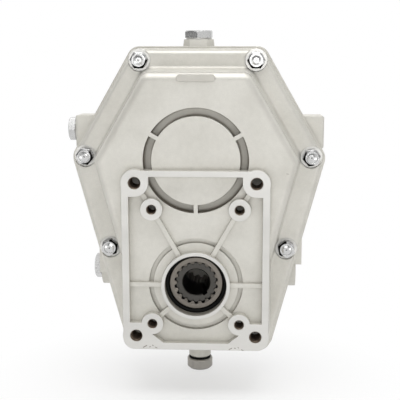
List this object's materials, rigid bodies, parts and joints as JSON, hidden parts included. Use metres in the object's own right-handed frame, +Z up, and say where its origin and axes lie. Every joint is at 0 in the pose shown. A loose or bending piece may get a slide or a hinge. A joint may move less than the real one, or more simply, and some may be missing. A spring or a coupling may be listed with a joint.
{
  "type": "pto speed multiplier gearbox",
  "caption": "Cast speed-increasing gearbox with a splined power take-off input shaft at the back and a splined socket with a pump flange at the front.",
  "frame": {"origin": "centre of the pump's pilot bore, in the plane of the pump flange's face", "axes": "-Y out of the pump flange towards the pump, +Z up from the output shaft to the input shaft, +X to the right seen from the pump's side"},
  "size_m": [0.2203, 0.186, 0.3006],
  "materials": {
    "cover_casting": "as cast, blasted, satin",
    "housing_casting": "as cast, blasted, satin",
    "gasket_paper": "matt paper",
    "zinc_fasteners": "bright zinc plated",
    "zinc_plugs": "bright zinc plated",
    "washer_aluminium": "plain sheet",
    "dark_steel": "dark phosphate",
    "seal_rubber": "matt black",
    "gear_steel": "ground and hobbed, oiled",
    "bearing_steel": "ground and polished",
    "cage_steel": "pressed sheet",
    "spring_steel": "blued",
    "pinion_steel": "hardened, tan grey",
    "coupling_steel": "phosphated, oiled"
  },
  "bodies": {
    "casing": {"front_cover": "cover_casting", "rear_housing": "housing_casting", "cover_gasket": "gasket_paper", "cover_bolts": "zinc_fasteners", "rear_tie_bolts": "zinc_fasteners", "bolt_spring_washers": "zinc_fasteners", "dowel_pins": "gear_steel", "filler_plug": "zinc_plugs", "level_plug": "zinc_plugs", "lower_side_plug": "zinc_plugs", "plug_washers": "washer_aluminium", "drain_plug": "dark_steel", "drain_washer": "seal_rubber", "input_front_bearing_outer_ring": "bearing_steel", "input_rear_bearing_outer_ring": "bearing_steel", "input_bearing_circlip": "spring_steel", "input_oil_seal": "seal_rubber", "input_seal_spring": "spring_steel", "output_front_bearing_outer_ring": "bearing_steel", "output_rear_bearing_outer_ring": "bearing_steel", "output_oil_seal": "seal_rubber", "output_seal_spring": "spring_steel"},
    "input_rotor": {"input_shaft": "gear_steel", "input_gear": "gear_steel", "gear_key": "gear_steel", "gear_circlip": "spring_steel", "input_front_bearing_inner_ring": "bearing_steel", "input_rear_bearing_inner_ring": "bearing_steel"},
    "output_rotor": {"pinion_shaft": "pinion_steel", "pump_coupling": "coupling_steel", "coupling_stop_ring": "spring_steel", "output_front_bearing_inner_ring": "bearing_steel", "output_rear_bearing_inner_ring": "bearing_steel"},
    "input_front_bearing_ball_set": {"input_front_bearing_balls": "bearing_steel", "input_front_bearing_cage": "cage_steel"},
    "input_rear_bearing_ball_set": {"input_rear_bearing_balls": "bearing_steel", "input_rear_bearing_cage": "cage_steel"},
    "output_front_bearing_ball_set": {"output_front_bearing_balls": "bearing_steel", "output_front_bearing_cage": "cage_steel"},
    "output_rear_bearing_ball_set": {"output_rear_bearing_balls": "bearing_steel", "output_rear_bearing_cage": "cage_steel"}
  },
  "joints": [
    {"name": "input_spin", "type": "hinge", "parent": "casing", "child": "input_rotor", "pos_m": [0, 0.06, 0.1025], "axis": [0, 1, 0], "continuous": true},
    {"name": "output_spin", "type": "hinge", "parent": "casing", "child": "output_rotor", "pos_m": [0, 0.05, 0], "axis": [0, 1, 0], "continuous": true},
    {"name": "input_front_bearing_roll", "type": "hinge", "parent": "casing", "child": "input_front_bearing_ball_set", "pos_m": [0, 0.0295, 0.1025], "axis": [0, 1, 0], "continuous": true},
    {"name": "input_rear_bearing_roll", "type": "hinge", "parent": "casing", "child": "input_rear_bearing_ball_set", "pos_m": [0, 0.0855, 0.1025], "axis": [0, 1, 0], "continuous": true},
    {"name": "output_front_bearing_roll", "type": "hinge", "parent": "casing", "child": "output_front_bearing_ball_set", "pos_m": [0, 0.026, 0], "axis": [0, 1, 0], "continuous": true},
    {"name": "output_rear_bearing_roll", "type": "hinge", "parent": "casing", "child": "output_rear_bearing_ball_set", "pos_m": [0, 0.0855, 0], "axis": [0, 1, 0], "continuous": true}
  ],
  "couplings": [
    {"joint": "output_spin", "follows": "input_spin", "ratio": -2.9048},
    {"joint": "input_front_bearing_roll", "follows": "input_spin", "ratio": 0.39626},
    {"joint": "input_rear_bearing_roll", "follows": "input_spin", "ratio": 0.39626},
    {"joint": "output_front_bearing_roll", "follows": "input_spin", "ratio": -1.2418},
    {"joint": "output_rear_bearing_roll", "follows": "input_spin", "ratio": -1.2418}
  ]
}
